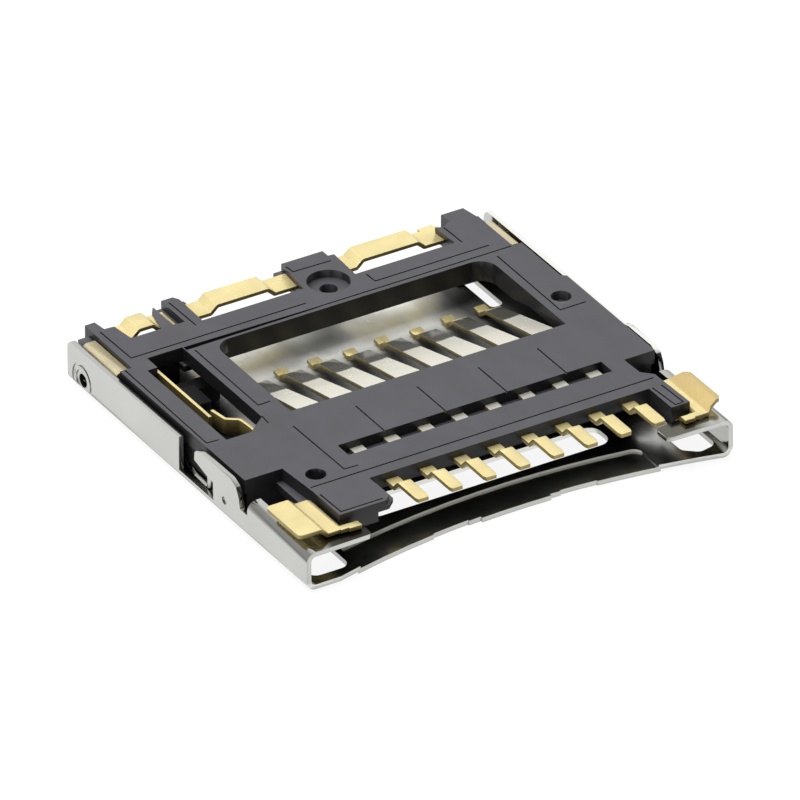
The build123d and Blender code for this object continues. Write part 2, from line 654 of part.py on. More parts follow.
def lock_pin():
    """The bent wire that holds the slider in: its rear end turns in the housing."""
    path = FilletPolyline(
        (PIN_X, PIN_Y, ROOF_Z - 0.21),
        (PIN_X, PIN_Y, PIN_Z),
        (PIN_X + 0.04, PIN_Y + 0.80, PIN_Z),
        (PIN_TIP_X, PIN_TIP_Y, PIN_Z),
        (PIN_TIP_X, PIN_TIP_Y, PIN_Z + 0.24),
        radius=0.13,
    )
    return sweep(Plane(origin=path @ 0, z_dir=path % 0) * Circle(WIRE_R), path)


parts = {
    "shell": shell(),
    "housing": housing(),
    "eject_slider": slider(),
    "card_leaf": card_leaf(),
    "eject_spring": eject_spring(),
    "lock_pin": lock_pin(),
    "switch_blade": switch_blade(),
    "switch_spring": switch_spring(),
    "left_nail": left_nail(),
    "right_nail": right_nail(),
    "left_ground_strip": ground_strip(-1, REAR_WALL_Y - 0.79, REAR_WALL_Y + 1.10),
    "right_ground_strip": ground_strip(1, REAR_WALL_Y - 0.55, REAR_WALL_Y + 0.90),
}
for i in range(COUNT):
    parts[f"contact_{i + 1}"] = contact(i)
for name, leg in zip(("left", "middle", "right"), rear_legs()):
    parts[f"rear_leg_{name}"] = leg
for name, shape in parts.items():
    export_step(shape, f"parts/{name}.step")
    print(name, len(shape.solids()), round(shape.volume, 4))
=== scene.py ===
import json
import math

import bpy
from mathutils import Matrix, Vector


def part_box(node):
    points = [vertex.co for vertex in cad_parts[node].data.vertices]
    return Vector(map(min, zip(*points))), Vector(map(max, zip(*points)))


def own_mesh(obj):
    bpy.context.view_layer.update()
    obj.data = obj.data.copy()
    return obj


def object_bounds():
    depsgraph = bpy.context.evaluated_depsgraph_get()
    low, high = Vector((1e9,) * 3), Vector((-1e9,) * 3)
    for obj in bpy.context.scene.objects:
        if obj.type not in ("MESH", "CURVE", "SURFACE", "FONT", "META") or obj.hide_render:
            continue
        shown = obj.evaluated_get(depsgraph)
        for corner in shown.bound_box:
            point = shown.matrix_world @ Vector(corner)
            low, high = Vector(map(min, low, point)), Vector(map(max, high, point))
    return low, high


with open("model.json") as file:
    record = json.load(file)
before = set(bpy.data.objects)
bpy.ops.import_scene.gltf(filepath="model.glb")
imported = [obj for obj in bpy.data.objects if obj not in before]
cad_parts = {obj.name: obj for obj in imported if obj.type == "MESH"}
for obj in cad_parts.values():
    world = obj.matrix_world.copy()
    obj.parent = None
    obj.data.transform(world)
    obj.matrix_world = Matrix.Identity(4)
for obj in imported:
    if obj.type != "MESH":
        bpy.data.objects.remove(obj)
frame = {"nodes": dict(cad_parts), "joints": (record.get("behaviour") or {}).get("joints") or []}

bl_info = {
    "name": "Card connector finish",
    "version": (1, 0, 0),
    "blender": (4, 5, 0),
    "location": "3D View > Sidebar > Connector",
    "description": "Finishes a push-push card connector: steel shell, moulded housing, plated contacts",
    "category": "Object",
}

CAD_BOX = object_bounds()
NODES = frame["nodes"]
MM = 0.001

# Facings, as the part of the surface's normal along an axis. In these, in the places and in the noise
# below, each pair is the value where a mask is 0 and the value where it is 1.

LEVEL = (0.5, 0.9)
UPRIGHT = (0.55, 0.30)
ROUNDED = (0.99, 0.90)
MOULDED_TOP = (0.80, 0.98)
MOULDED_RIM = (0.10, 0.35)
NOT_FRONT = (0.35, 0.15)
SLOPING_FRONT = (-0.10, -0.30)
STEEP_FRONT = (-0.3, -0.6)

# Places on the shell, in mm

INNER_FACE_Z = (0.12, 0.18)
WALLS_Z = (0.25, 0.35)
FLANGES_Z = (1.10, 1.20)
STEP_Z = (0.135, 0.160)
STEP_Y = (-4.3, -4.6)
OPENING_Y = (-4.3, -4.0)
OPENING_EDGE_Y = (-3.0, -3.3)
WALL_TOP_X = (6.50, 6.62)
WALL_TOP_Y = (-2.9, -2.7)
FLANGE_REFLECTION_X = (6.30, 5.70)
LEFT_FLANGE_X = (-6.45, -6.05)
LEFT_FLANGE_END_X = (-4.3, -4.6)
WINDOW_Y = (-2.0, -0.5)
CHANNEL_X = (-3.6, -4.2)
TIPS_SHADE_Y = (3.75, 3.05)
RIGHT_SHADE_X = (3.3, 4.5)

# Places on the contacts and on the right nail, in mm

NICKEL_START_Y = (-4.4, -4.15)
NICKEL_END_Y = (2.74, 2.66)
NICKEL_DARK_Y = (1.68, 1.76)
WING_X = (6.33, 6.39)

# Noise

CLOUDS = (0.35, 0.65)
DULL_CLOUDS = (0.36, 0.62)
SATIN_CLOUDS = (0.38, 0.66)
MOTTLE = (0.50, 1.0)
SCUFFS = (0.66, 0.74)
GLOSS_CLOUDS = (0.45, 0.85)
PLATE_CLOUDS = (0.40, 0.85)
WIRE_CLOUDS = (0.3, 0.7)

# How much of a second noise is added to a first one

FLOW_SHARE = 0.5
LINES_SHARE = 0.3
FINE_SHARE = 0.3

# How far noise moves the border of a tone, in mm

NICKEL_START_DRIFT = 0.2
NICKEL_END_DRIFT = 0.1
NICKEL_DARK_DRIFT = 0.12
TIPS_SHADE_DRIFT = 0.5

# Tones: how far each covers what is under it, and its brightness as a share of the finish's colour

SCUFFED = (0.35, 1.7)
# A painted highlight on the moulding's rounded edges
EDGE_HIGHLIGHT = (0.6, 2.6)
DULL = (0.35, 0.60)
# Painted shade on the steel's rounded edges
EDGE_SHADE = (0.9, 0.35)
# A painted highlight on the step up from the front lip
STEP_HIGHLIGHT = (0.9, 1.1)
# A painted highlight that whitens the cut edge behind the opening
CUT_HIGHLIGHT = (1.0, 1.7)
# A painted highlight on the right wall's top edge
WALL_TOP_HIGHLIGHT = (1.0, 1.62)
# Painted reflection on the front flanges
FLANGE_REFLECTION = (0.85, 1.0)
DARK_FLANGE = (0.9, 0.2)
SHADED = (0.88, 0.03)
BARE = (1.0, 1.0)
DARK_BARE = (0.96, 0.11)
SHEARED = (0.85, 1.0)

# Cloudy finishes: the brightness where the clouds' mask is 0 and where it is 1, as shares of the colour

PLASTIC_TONES = (0.88, 1.12)
STEEL_TONES = (0.95, 1.03)
# The satin's lift over the steel colour is partly a whiter satin finish, partly painted light
SATIN_AND_LIGHT_TONES = (1.62, 1.10)
GOLD_TONES = (0.92, 1.05)
WIRE_TONES = (0.85, 1.05)

# How far the satin covers the plate, and the wing's painted shade as a share of the gold's red, green and
# blue

SATIN_COVER = 0.9
WING_SHADE = (0.76, 0.68, 0.58)

# Roughness, and what some places add to it or take from the metal

HOUSING_GLOSS = 0.36
SLIDER_GLOSS = 0.44
SHELL_GLOSS = 0.14
LEAF_GLOSS = 0.18
STEEL_GLOSS_SPREAD = (-0.04, 0.09)
PLATE_GLOSS = (0.20, 0.30)
WIRE_GLOSS = (0.18, 0.30)
TOP_ROUGH = 0.14
MOTTLE_ROUGH = 0.06
SATIN_ROUGH = 0.14
STEP_ROUGH = 0.25
SHEARED_ROUGH = 0.12
SATIN_LOSS = 0.5
STEP_LOSS = 0.7
PLATE_METAL = 0.65
HOUSING_IOR = 1.44
SLIDER_IOR = 1.2

# Relief: the depth of a bump and its strength

GRAIN = (0.0020 * MM, 0.5)
FLOW = (0.008 * MM, 0.30)
ROLLED = (0.0006 * MM, 0.4)
FINE = (0.0006 * MM, 0.2)
STAMPED = (0.0007 * MM, 0.4)
DRAWN = (0.0010 * MM, 0.5)

# Softened edges

WELD_DISTANCE = 0.0002 * MM
FLAT_ANGLE = math.radians(0.8)
EDGE_ANGLE = math.radians(32.0)
EDGE_SEGMENTS = 2
FACE_WEIGHT = 90

# The studio: its light by the direction that is looked in, with Y to the rear and Z up. SKY_LIGHT is
# the strength in the gloss at both ends of SKY_Z, and DARK_SIDE is what the dark side takes from it.

SKY_Z = (0.0, 0.42)
SKY_LIGHT = (0.66, 1.0)
DARK_SIDE_Y = (-0.10, -0.55)
DARK_SIDE_Z = (0.74, 0.62)
DARK_SIDE = 0.80
FACE_LIGHT = 0.62

# The floor: its gap under the part, its greys, and how far it shows plain white or pale

FLOOR_GAP = 0.01 * MM
PAPER_GREY = 0.88
PALE_GREY = 0.84
WHITE_TO_CAMERA = 0.90
PALE_IN_GLOSS = 0.85

# The lamps' places in metres, with the side of each in metres and its power in watts

LAMPS = (
    ("top_box", (-0.05, 0.12, 0.40), 0.40, 4.2),
    ("left_box", (-0.42, -0.05, 0.20), 0.25, 0.5),
)

# The camera: its angles in degrees, its place in metres and its lens and film in mm

CAMERA_TURN = -30.98
CAMERA_LIFT = 31.38
CAMERA_ROLL = -0.24
CAMERA_PLACE = (-0.19719, -0.32859, 0.23433)
LENS = 720
FILM = 36


# Shader sums

class Wire:
    """A socket of a shader node that can stand in a sum."""

    def __init__(self, finish, socket):
        self.finish = finish
        self.socket = socket

    def maths(self, operation, *values):
        """Adds a Math node."""
        node = self.finish.node("ShaderNodeMath", {"operation": operation}, dict(enumerate(values)))
        return node.out(0)

    def __add__(self, other):
        return self.maths("ADD", self, other)

    def __radd__(self, other):
        return self.maths("ADD", other, self)

    def __sub__(self, other):
        return self.maths("SUBTRACT", self, other)

    def __rsub__(self, other):
        return self.maths("SUBTRACT", other, self)

    def __mul__(self, other):
        return self.maths("MULTIPLY", self, other)

    def __rmul__(self, other):
        return self.maths("MULTIPLY", other, self)

    def __abs__(self):
        return self.maths("ABSOLUTE", self)


class Made:
    """A node that was added, with its outputs as wires."""

    def __init__(self, finish, node):
        self.finish = finish
        self.node = node

    def out(self, name):
        """One of the node's outputs, by its name or number."""
        return Wire(self.finish, self.node.outputs[name])


class Finish:
    """The node tree of one finish."""

    def __init__(self, owner):
        owner.use_nodes = True
        self.tree = owner.node_tree
        self.tree.nodes.clear()

    def node(self, kind, settings=None, values=None):
        """Adds a node: its settings are set first, then its sockets' values or links."""
        node = self.tree.nodes.new(kind)
        for name, value in (settings or {}).items():
            setattr(node, name, value)
        for name, value in (values or {}).items():
            socket = node.inputs[name]
            if isinstance(value, Made):
                value = value.out(0)
            if isinstance(value, Wire):
                self.tree.links.new(value.socket, socket)
            else:
                socket.default_value = value
        return Made(self, node)

    def place(self, scale=1.0, stretch=(1.0, 1.0, 1.0)):
        """Object coordinates in mm, times a scale along each axis."""
        where = self.node("ShaderNodeTexCoord").out("Object")
        factors = tuple(scale * s / MM for s in stretch)
        return self.node("ShaderNodeVectorMath", {"operation": "MULTIPLY"}, {0: where, 1: factors}).out(0)

    def axis(self, letter):
        """One object coordinate, in mm."""
        return self.node("ShaderNodeSeparateXYZ", None, {0: self.place()}).out(letter)

    def facing(self, letter):
        """One component of the surface's own normal."""
        normal = self.node("ShaderNodeTexCoord").out("Normal")
        return self.node("ShaderNodeSeparateXYZ", None, {0: normal}).out(letter)

    def between(self, value, low, high, to_low=0.0, to_high=1.0):
        """A value from low to high as one from to_low to to_high, clamped."""
        values = {0: value, 1: low, 2: high, 3: to_low, 4: to_high}
        return self.node("ShaderNodeMapRange", {"clamp": True}, values).out(0)

    def along(self, letter, pair):
        """A mask along an axis: 0 at the pair's first place and 1 at its second."""
        return self.between(self.axis(letter), *pair)

    def turned(self, letter, pair):
        """A mask by how far the surface faces the plus side of an axis, below 0 for the minus side."""
        return self.between(self.facing(letter), *pair)

    def aligned(self, letter, pair):
        """A mask by how far the surface faces either side of an axis."""
        return self.between(abs(self.facing(letter)), *pair)

    def highest(self, *masks):
        """The highest of two or more masks, which joins their areas."""
        joined = masks[0]
        for mask in masks[1:]:
            joined = self.node("ShaderNodeMath", {"operation": "MAXIMUM"}, {0: joined, 1: mask}).out(0)
        return joined

    def rounded_edge(self):
        """1 on the rounded edges between faces that look along an axis, 0 on those faces."""
        return self.between(self.highest(*(abs(self.facing(letter)) for letter in "XYZ")), *ROUNDED)

    def noise(self, per_mm, stretch=(1.0, 1.0, 1.0), detail=3.0, rough=0.5):
        """Cloudy noise, with about this many clouds in a mm."""
        values = {"Vector": self.place(per_mm, stretch), "Scale": 1.0, "Detail": detail, "Roughness": rough}
        return self.node("ShaderNodeTexNoise", None, values).out("Fac")

    def mix(self, factor, first, second):
        """A colour between two colours."""
        values = {0: factor, 6: first, 7: second}
        return self.node("ShaderNodeMix", {"data_type": "RGBA"}, values).out(2)

    def cloudy(self, clouds, colour, brightness):
        """A colour whose brightness goes from one share to another with the clouds."""
        return self.mix(clouds, *(shade(colour, share) for share in brightness))

    def toned(self, base, mask, colour, tone):
        """A base with a tone of a colour over it where the mask is 1."""
        cover, brightness = tone
        return self.mix(mask * cover, base, shade(colour, brightness))

    def bump(self, height, relief, normal=None):
        """A bumped normal, over another one where it is given."""
        distance, strength = relief
        values = {"Height": height, "Distance": distance, "Strength": strength}
        if normal is not None:
            values["Normal"] = normal
        return self.node("ShaderNodeBump", None, values).out(0)

    def surface(self, shader):
        """Ends the tree of a material."""
        output = self.node("ShaderNodeOutputMaterial")
        self.tree.links.new(shader.out(0).socket, output.node.inputs["Surface"])

    def painted(self, base, metallic, rough, normal, ior=1.5):
        """Ends the tree of a material in one opaque shader."""
        self.surface(self.node("ShaderNodeBsdfPrincipled", None, {
            "Base Color": base, "Metallic": metallic, "Roughness": rough, "Normal": normal, "IOR": ior}))


def rgba(colour):
    return (colour[0], colour[1], colour[2], 1.0)


def grey(value):
    return (value, value, value, 1.0)


def shade(colour, factor):
    return (colour[0] * factor, colour[1] * factor, colour[2] * factor, 1.0)


def new_finish(name):
    material = bpy.data.materials.new(name)
    return material, Finish(material)


# Moulded plastic

def moulded_plastic(name, face, side, gloss, ior):
    """Glass-filled black moulding: a dull textured top with pale scuffs, and darker, smoother sides, partly
    painted shade.
    """
    material, make = new_finish(name)
    cloud = make.noise(per_mm=0.9, detail=4.0)
    grain = make.noise(per_mm=30.0, detail=2.0)
    flow = make.noise(per_mm=3.0, stretch=(1.0, 0.35, 1.0), detail=5.0)
    scratches = make.noise(per_mm=5.0, stretch=(1.0, 0.3, 1.0), detail=6.0, rough=0.7)
    mottle = make.between(cloud + FLOW_SHARE * flow, *MOTTLE)
    textured = make.cloudy(mottle, face, PLASTIC_TONES)
    textured = make.toned(textured, make.between(scratches, *SCUFFS), face, SCUFFED)
    # Faces that do not look up take the side colour: partly the smoother moulding, partly painted shade.
    top = make.turned("Z", MOULDED_TOP)
    base = make.mix(top, rgba(side), textured)
    # Painted highlight: the rounded edges between the top and the sides are lightened.
    highlight_rim = make.rounded_edge() * make.aligned("Z", MOULDED_RIM)
    base = make.toned(base, highlight_rim, face, EDGE_HIGHLIGHT)
    rough = gloss + TOP_ROUGH * top + MOTTLE_ROUGH * mottle
    make.painted(base, 0.0, rough, make.bump(flow, FLOW, make.bump(grain, GRAIN)), ior)
    return material


# Rolled steel

def steel_colour(make, colour, cloud, walls):
    """Cloudy bright steel, dull in patches on its level faces, with rounded edges darkened as painted
    shade.
    """
    base = make.cloudy(make.between(cloud, *CLOUDS), colour, STEEL_TONES)
    dulled = make.between(cloud, *DULL_CLOUDS) * make.aligned("Z", LEVEL)
    base = make.toned(base, dulled, colour, DULL)
    # Painted shade on the rounded edges of the walls and of faces that do not look front or rear.
    edge_shade = make.rounded_edge() * make.highest(make.aligned("Y", NOT_FRONT), walls)
    return make.toned(base, edge_shade, colour, EDGE_SHADE)


def steel_surface(make, base, gloss, cloud, satin_and_light=0.0, step=0.0):
    """Ends the tree with rolled lines and gloss. Satin and step mask the places that are duller."""
    lines = make.noise(per_mm=1.0, stretch=(38.0, 1.2, 38.0)) * (1.0 - satin_and_light)
    fine = make.noise(per_mm=22.0, detail=2.0)
    low, high = STEEL_GLOSS_SPREAD
    rough = make.between(cloud + LINES_SHARE * lines, *GLOSS_CLOUDS, gloss + low, gloss + high)
    rough = rough + SATIN_ROUGH * satin_and_light + STEP_ROUGH * step
    metal = 1.0 - SATIN_LOSS * satin_and_light - STEP_LOSS * step
    make.painted(base, metal, rough, make.bump(lines, ROLLED, make.bump(fine, FINE)))


def rolled_steel(name, colour, gloss):
    """Bright rolled strip: cloudy reflections, dull patches and fine lines along the strip."""
    material, make = new_finish(name)
    cloud = make.noise(per_mm=0.45)
    base = steel_colour(make, colour, cloud, make.along("Z", WALLS_Z))
    steel_surface(make, base, gloss, cloud)
    return material


def front_step(make, low):
    """The step that rises from the lowered front lip to the plate."""
    rising = make.turned("Y", SLOPING_FRONT) * make.along("Z", STEP_Z)
    return rising * low * make.along("Y", STEP_Y)


def opening_edge(make, low):
    """The plate's cut edge at the rear of the opening under the solder tails."""
    cut = make.turned("Y", STEEP_FRONT) * low
    return cut * make.along("Y", OPENING_Y) * make.along("Y", OPENING_EDGE_Y)


def right_wall_top(make, walls):
    """The top edge of the right wall, which shows beyond the roof."""
    edge = make.along("X", WALL_TOP_X) * walls * make.turned("Z", LEVEL)
    return edge * make.along("Y", WALL_TOP_Y)


def inner_plate(make, low):
    """The plate's inner face, from just before the window to the rear."""
    inner = make.along("Z", INNER_FACE_Z) * low * make.turned("Z", LEVEL)
    return inner * make.along("Y", WINDOW_Y)


def flange_reflections(make, base, dark_reflection):
    """Painted reflection of the dark housing foot and nails: a brown tint towards the flanges' inner ends,
    and a dark one along the left flange.
    """
    flanges = make.along("Z", FLANGES_Z) * make.aligned("Z", LEVEL)
    ends = make.between(abs(make.axis("X")), *FLANGE_REFLECTION_X)
    left = make.along("X", LEFT_FLANGE_X) * make.along("X", LEFT_FLANGE_END_X)
    base = make.toned(base, flanges * ends, dark_reflection, FLANGE_REFLECTION)
    return make.toned(base, flanges * left, dark_reflection, DARK_FLANGE)


def shell_steel(name, colour, dark_reflection, gloss):
    """The shell's steel, with painted light and shade on its step, cut edge, wall top, flanges and inner
    face.
    """
    material, make = new_finish(name)
    cloud = make.noise(per_mm=0.45)
    patches = make.noise(per_mm=0.8, stretch=(1.0, 0.8, 1.0), detail=5.0)
    walls = make.along("Z", WALLS_Z)
    low = 1.0 - walls
    step = front_step(make, low)
    inner = inner_plate(make, low)
    channel = inner * make.along("X", CHANNEL_X)
    under_window = inner - channel
    # A whiter satin under the window, brighter in clouds: partly its own finish, partly painted light.
    satin_and_light = make.cloudy(make.between(patches, *SATIN_CLOUDS), colour, SATIN_AND_LIGHT_TONES)
    under_beams = make.between(make.axis("Y") + TIPS_SHADE_DRIFT * patches, *TIPS_SHADE_Y)
    shaded = make.highest(under_beams, make.along("X", RIGHT_SHADE_X)) * under_window
    base = steel_colour(make, colour, cloud, walls)
    # Painted highlight on the step up from the front lip.
    base = make.toned(base, step, colour, STEP_HIGHLIGHT)
    # Painted highlight: the cut edge at the rear of the opening is whitened.
    base = make.toned(base, opening_edge(make, low), colour, CUT_HIGHLIGHT)
    # Painted highlight on the top edge of the right wall.
    base = make.toned(base, right_wall_top(make, walls), colour, WALL_TOP_HIGHLIGHT)
    # Painted reflection on the front flanges.
    base = flange_reflections(make, base, dark_reflection)
    base = make.mix(under_window * SATIN_COVER, base, satin_and_light)
    # Painted shade on the plate in front of the contact tips, right of the last contact and in the channel.
    base = make.toned(base, make.highest(channel, shaded), colour, SHADED)
    steel_surface(make, base, gloss, cloud, under_window, step)
    return material


# Plated strip and wire

def bare_nickel(make, base, nickel):
    """Nickel between the contacts' gold ends, with a dark reflection on the rear of the beams."""
    where = make.axis("Y")
    ragged = make.noise(per_mm=2.5)
    bare = make.between(where + NICKEL_START_DRIFT * ragged, *NICKEL_START_Y)
    bare = bare * make.between(where + NICKEL_END_DRIFT * ragged, *NICKEL_END_Y)
    dark = make.between(where + NICKEL_DARK_DRIFT * ragged, *NICKEL_DARK_Y)
    base = make.toned(base, bare, nickel, BARE)
    return make.toned(base, dark * bare, nickel, DARK_BARE)


def shaded_wing(make, base, gold):
    """A redder, darker gold on the right nail's wing: painted shade for a fold that slopes away, which the
    flat wing lacks.
    """
    shaded_gold = tuple(part * share for part, share in zip(gold, WING_SHADE))
    return make.mix(make.along("X", WING_X), base, rgba(shaded_gold))


def plated_strip(name, gold, core, nickel=None, folded=False):
    """Gold plate on stamped strip with darker sheared edges, and with nickel where a colour is given."""
    material, make = new_finish(name)
    cloud = make.noise(per_mm=1.2, detail=4.0)
    fine = make.noise(per_mm=26.0, detail=2.0)
    lines = make.noise(per_mm=1.0, stretch=(30.0, 2.0, 30.0), detail=2.0)
    base = make.cloudy(make.between(cloud, *CLOUDS), gold, GOLD_TONES)
    if nickel is not None:
        base = bare_nickel(make, base, nickel)
    # Painted shade on the right nail's wing.
    if folded:
        base = shaded_wing(make, base, gold)
    sheared = make.aligned("Z", UPRIGHT)
    base = make.toned(base, sheared, core, SHEARED)
    rough = make.between(cloud + FINE_SHARE * fine, *PLATE_CLOUDS, *PLATE_GLOSS)
    rough = rough + SHEARED_ROUGH * sheared
    make.painted(base, PLATE_METAL, rough, make.bump(lines, STAMPED, make.bump(fine, FINE)))
    return material


def drawn_wire(name, colour):
    """Bright drawn wire with fine lines."""
    material, make = new_finish(name)
    cloud = make.noise(per_mm=2.0)
    lines = make.noise(per_mm=1.0, stretch=(40.0, 6.0, 40.0), detail=2.0)
    rough = make.between(cloud, *WIRE_CLOUDS, *WIRE_GLOSS)
    make.painted(make.cloudy(cloud, colour, WIRE_TONES), 1.0, rough, make.bump(lines, DRAWN))
    return material


# Dressing the CAD nodes

def soften(obj, width):
    """Rounds a CAD node's sharp edges a little, as stamping and moulding leave them."""
    weld = obj.modifiers.new("weld", "WELD")
    weld.merge_threshold = WELD_DISTANCE
    flat = obj.modifiers.new("flat", "DECIMATE")
    flat.decimate_type = "DISSOLVE"
    flat.angle_limit = FLAT_ANGLE
    bevel = obj.modifiers.new("edges", "BEVEL")
    bevel.width = width
    bevel.segments = EDGE_SEGMENTS
    bevel.limit_method = "ANGLE"
    bevel.angle_limit = EDGE_ANGLE
    bevel.harden_normals = True
    bevel.use_clamp_overlap = True
    normals = obj.modifiers.new("normals", "WEIGHTED_NORMAL")
    normals.mode = "FACE_AREA"
    normals.weight = FACE_WEIGHT
    for polygon in obj.data.polygons:
        polygon.use_smooth = True


def dress(names, material, width):
    """Gives CAD nodes a finish and softened edges."""
    for name in names:
        obj = NODES[name]
        obj.data.materials.clear()
        obj.data.materials.append(material)
        soften(obj, width)


def numbered(word):
    """The names of the CAD nodes that start with a word."""
    return sorted(name for name in NODES if name.startswith(word))


def shorten_spring():
    """Works out the share of the coil spring's length that the slider's travel leaves, and gives the spring
    its own mesh; the spring is not shortened.
    """
    near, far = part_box("eject_spring")
    travel = next(joint for joint in frame["joints"] if joint["name"] == "slider_travel")
    keep = 1 - travel["range_m"][1] / (far[1] - near[1])
    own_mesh(NODES["eject_spring"])


# The stage

def make_world(scene):
    """A white studio: white to the camera, bright in gloss over the rear, dark behind the camera."""
    world = bpy.data.worlds.new("studio")
    scene.world = world
    make = Finish(world)
    path = make.node("ShaderNodeLightPath")
    seen = make.highest(path.out("Is Camera Ray"), path.out("Is Transmission Ray"))
    gloss = path.out("Is Glossy Ray")
    way = make.node("ShaderNodeSeparateXYZ", None, {0: make.node("ShaderNodeTexCoord").out("Generated")})
    front = make.between(way.out("Y"), *DARK_SIDE_Y) * make.between(way.out("Z"), *DARK_SIDE_Z)
    sky = make.between(way.out("Z"), *SKY_Z, *SKY_LIGHT) - DARK_SIDE * front
    strength = seen + (1.0 - seen) * (gloss * sky + (1.0 - gloss) * FACE_LIGHT)
    back = make.node("ShaderNodeBackground", None, {"Color": grey(1.0), "Strength": strength})
    output = make.node("ShaderNodeOutputWorld")
    make.tree.links.new(back.out(0).socket, output.node.inputs["Surface"])


def make_floor(scene, size):
    """Pale floor that shows white round the part, with a light shadow."""
    mesh = bpy.data.meshes.new("floor")
    half = size / 2
    corners = [(-half, -half, 0), (half, -half, 0), (half, half, 0), (-half, half, 0)]
    mesh.from_pydata(corners, [], [(0, 1, 2, 3)])
    floor = bpy.data.objects.new("floor", mesh)
    scene.collection.objects.link(floor)
    floor.location.z = CAD_BOX[0].z - FLOOR_GAP
    material, make = new_finish("floor_white")
    path = make.node("ShaderNodeLightPath")
    paper = make.node("ShaderNodeBsdfDiffuse", None, {"Color": grey(PAPER_GREY)})
    white = make.node("ShaderNodeEmission", None, {"Color": grey(1.0), "Strength": 1.0})
    pale = make.node("ShaderNodeEmission", None, {"Color": grey(PALE_GREY), "Strength": 1.0})
    to_camera = path.out("Is Camera Ray") * WHITE_TO_CAMERA
    to_gloss = path.out("Is Glossy Ray") * PALE_IN_GLOSS
    shown = make.node("ShaderNodeMixShader", None, {0: to_camera, 1: paper, 2: white})
    make.surface(make.node("ShaderNodeMixShader", None, {0: to_gloss, 1: shown, 2: pale}))
    mesh.materials.append(material)


def make_lamps(scene):
    """Two soft boxes over the part, left out of the gloss, which comes from the studio's walls."""
    for name, place, side, power in LAMPS:
        data = bpy.data.lights.new(name, "AREA")
        data.size = side
        data.energy = power
        lamp = bpy.data.objects.new(name, data)
        lamp.location = place
        lamp.rotation_euler = (-Vector(place)).to_track_quat("-Z", "Y").to_euler()
        lamp.visible_glossy = False
        scene.collection.objects.link(lamp)


def make_camera(scene):
    """The photograph's view: from the front left, far away."""
    turn, lift, roll = math.radians(CAMERA_TURN), math.radians(CAMERA_LIFT), math.radians(CAMERA_ROLL)
    back = Vector((math.sin(turn) * math.cos(lift), -math.cos(turn) * math.cos(lift), math.sin(lift)))
    flat = Vector((math.cos(turn), math.sin(turn), 0))
    rise = back.cross(flat)
    right = math.cos(roll) * flat + math.sin(roll) * rise
    up = -math.sin(roll) * flat + math.cos(roll) * rise
    data = bpy.data.cameras.new("camera")
    data.lens = LENS
    data.sensor_width = FILM
    data.clip_start = 0.01
    data.clip_end = 10
    camera = bpy.data.objects.new("camera", data)
    camera.matrix_world = Matrix((
        (right.x, up.x, back.x, CAMERA_PLACE[0]),
        (right.y, up.y, back.y, CAMERA_PLACE[1]),
        (right.z, up.z, back.z, CAMERA_PLACE[2]),
        (0, 0, 0, 1),
    ))
    scene.collection.objects.link(camera)
    scene.camera = camera


# Settings

def colour_setting(name, description, default):
    return bpy.props.FloatVectorProperty(
        name=name, description=description, subtype="COLOR", size=3, min=0.0, max=1.0, default=default
    )


def length_setting(name, description, default):
    return bpy.props.FloatProperty(
        name=name, description=description, subtype="DISTANCE", unit="LENGTH", default=default, precision=6
    )


class ConnectorColours(bpy.types.PropertyGroup):
    """Colours of the connector's finishes."""
    steel: colour_setting("Shell steel", "Colour of the folded steel shell", (0.575, 0.578, 0.548))
    # A painted reflection of the dark housing foot and nails on the front flanges
    dark_reflection: colour_setting("Flange stain", "Brown tint on the two front flanges", (0.075, 0.068, 0.040))
    plastic: colour_setting("Housing face", "Colour of the housing's textured face", (0.038, 0.037, 0.0415))
    # Far darker than the face: partly the sides' smoother moulding, partly painted shade.
    side: colour_setting("Housing sides", "Colour of the housing's smooth sides", (0.008, 0.008, 0.009))
    slider: colour_setting("Slider plastic", "Colour of the eject slider", (0.005, 0.005, 0.0055))
    gold: colour_setting("Gold plate", "Colour of the gold plated ends", (0.64, 0.54, 0.262))
    nickel: colour_setting("Nickel plate", "Colour of the contacts between the gold", (0.66, 0.64, 0.555))
    core: colour_setting("Sheared edge", "Colour of the strip's sheared edges", (0.21, 0.165, 0.055))
    flash: colour_setting("Thin gold", "Colour of the ground strips' thin gold", (0.47, 0.41, 0.265))


class ConnectorSizes(bpy.types.PropertyGroup):
    """Sizes of the softened edges and of the floor."""
    mould_edge: length_setting("Moulded edge", "Width of the moulded pieces' softened edges", 0.028 * MM)
    sheet_edge: length_setting("Sheet edge", "Width of the shell's softened edges", 0.030 * MM)
    strip_edge: length_setting("Strip edge", "Width of the strips' and wires' softened edges", 0.014 * MM)
    floor_size: length_setting("Floor", "Length of the floor's side", 0.60)


# Steps

class CONNECTOR_OT_stage(bpy.types.Operator):
    """Sets the floor, the lights and the camera"""
    bl_idname = "connector.stage"
    bl_label = "Stage"

    def execute(self, context):
        scene = context.scene
        scene.view_settings.view_transform = "Standard"
        make_world(scene)
        make_floor(scene, scene.connector_sizes.floor_size)
        make_lamps(scene)
        make_camera(scene)
        return {"FINISHED"}


class CONNECTOR_OT_shell(bpy.types.Operator):
    """Finishes the folded steel shell"""
    bl_idname = "connector.shell"
    bl_label = "Shell"

    def execute(self, context):
        colours = context.scene.connector_colours
        sizes = context.scene.connector_sizes
        steel = shell_steel("shell_steel", colours.steel, colours.dark_reflection, SHELL_GLOSS)
        dress(["shell"], steel, sizes.sheet_edge)
        return {"FINISHED"}


class CONNECTOR_OT_housing(bpy.types.Operator):
    """Finishes the moulded housing"""
    bl_idname = "connector.housing"
    bl_label = "Housing"

    def execute(self, context):
        colours = context.scene.connector_colours
        sizes = context.scene.connector_sizes
        moulding = moulded_plastic(
            "housing_plastic", colours.plastic, colours.side, HOUSING_GLOSS, HOUSING_IOR
        )
        dress(["housing"], moulding, sizes.mould_edge)
        return {"FINISHED"}


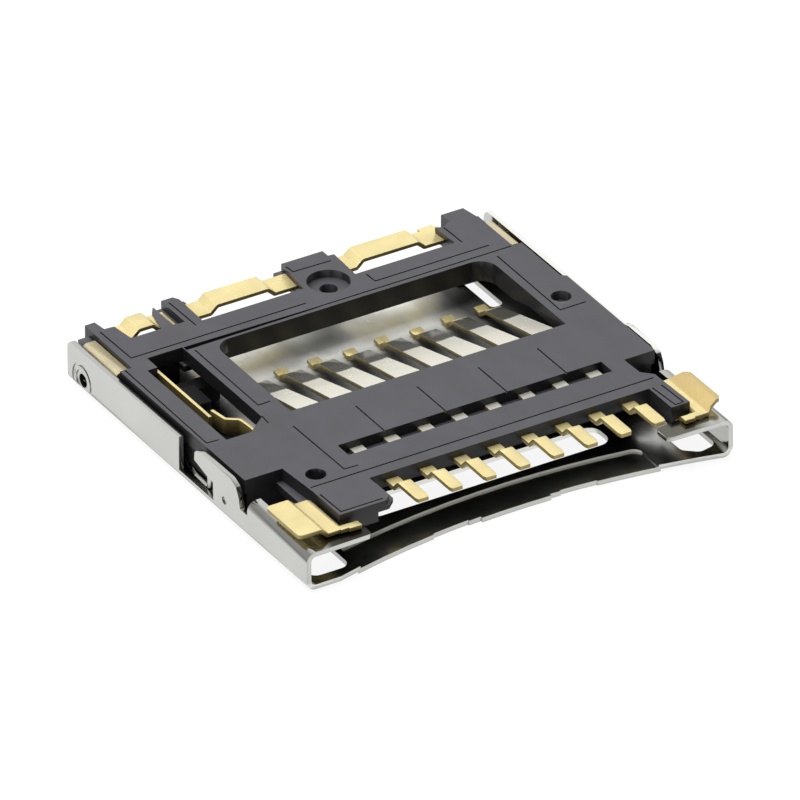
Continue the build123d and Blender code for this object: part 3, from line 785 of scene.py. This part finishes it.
class CONNECTOR_OT_mechanism(bpy.types.Operator):
    """Finishes the eject slider, its leaf, the coil spring and the lock pin"""
    bl_idname = "connector.mechanism"
    bl_label = "Eject mechanism"

    def execute(self, context):
        colours = context.scene.connector_colours
        sizes = context.scene.connector_sizes
        moulding = moulded_plastic("slider_plastic", colours.slider, colours.side, SLIDER_GLOSS, SLIDER_IOR)
        dress(["eject_slider"], moulding, sizes.mould_edge)
        dress(["card_leaf"], rolled_steel("leaf_steel", colours.steel, LEAF_GLOSS), sizes.strip_edge)
        dress(["eject_spring", "lock_pin"], drawn_wire("spring_wire", colours.steel), sizes.strip_edge)
        shorten_spring()
        return {"FINISHED"}


class CONNECTOR_OT_contacts(bpy.types.Operator):
    """Finishes the row of sprung contacts, plated at both ends"""
    bl_idname = "connector.contacts"
    bl_label = "Contacts"

    def execute(self, context):
        colours = context.scene.connector_colours
        sizes = context.scene.connector_sizes
        plate = plated_strip("contact_plate", colours.gold, colours.core, nickel=colours.nickel)
        dress(numbered("contact_"), plate, sizes.strip_edge)
        return {"FINISHED"}


class CONNECTOR_OT_nails(bpy.types.Operator):
    """Finishes the solder nails, rear legs, ground strips and switch pieces"""
    bl_idname = "connector.nails"
    bl_label = "Nails, legs and switch"

    def execute(self, context):
        colours = context.scene.connector_colours
        sizes = context.scene.connector_sizes
        plate = plated_strip("gold_plate", colours.gold, colours.core)
        thin = plated_strip("thin_plate", colours.flash, colours.core)
        # The right nail's plate, with painted shade on its wing
        folded = plated_strip("wing_shade_plate", colours.gold, colours.core, folded=True)
        dress(numbered("rear_leg_") + numbered("switch_") + ["left_nail"], plate, sizes.strip_edge)
        dress(["left_ground_strip", "right_ground_strip"], thin, sizes.strip_edge)
        dress(["right_nail"], folded, sizes.strip_edge)
        return {"FINISHED"}


class CONNECTOR_PT_panel(bpy.types.Panel):
    """Lists the settings and the steps that finish the connector"""
    bl_idname = "CONNECTOR_PT_panel"
    bl_label = "Card connector"
    bl_space_type = "VIEW_3D"
    bl_region_type = "UI"
    bl_category = "Connector"

    def draw(self, context):
        layout = self.layout
        for group in (context.scene.connector_colours, context.scene.connector_sizes):
            for name in group.bl_rna.properties.keys():
                if name not in ("rna_type", "name"):
                    layout.prop(group, name)
        for step in STEPS:
            layout.operator(step.bl_idname)


STEPS = (
    CONNECTOR_OT_stage,
    CONNECTOR_OT_shell,
    CONNECTOR_OT_housing,
    CONNECTOR_OT_mechanism,
    CONNECTOR_OT_contacts,
    CONNECTOR_OT_nails,
)
CLASSES = (ConnectorColours, ConnectorSizes) + STEPS + (CONNECTOR_PT_panel,)


def register():
    for cls in CLASSES:
        bpy.utils.register_class(cls)
    bpy.types.Scene.connector_colours = bpy.props.PointerProperty(type=ConnectorColours)
    bpy.types.Scene.connector_sizes = bpy.props.PointerProperty(type=ConnectorSizes)


def unregister():
    del bpy.types.Scene.connector_sizes
    del bpy.types.Scene.connector_colours
    for cls in reversed(CLASSES):
        bpy.utils.unregister_class(cls)


def main():
    register()
    bpy.ops.connector.stage()
    bpy.ops.connector.shell()
    bpy.ops.connector.housing()
    bpy.ops.connector.mechanism()
    bpy.ops.connector.contacts()
    bpy.ops.connector.nails()


if __name__ == "__main__":
    main()
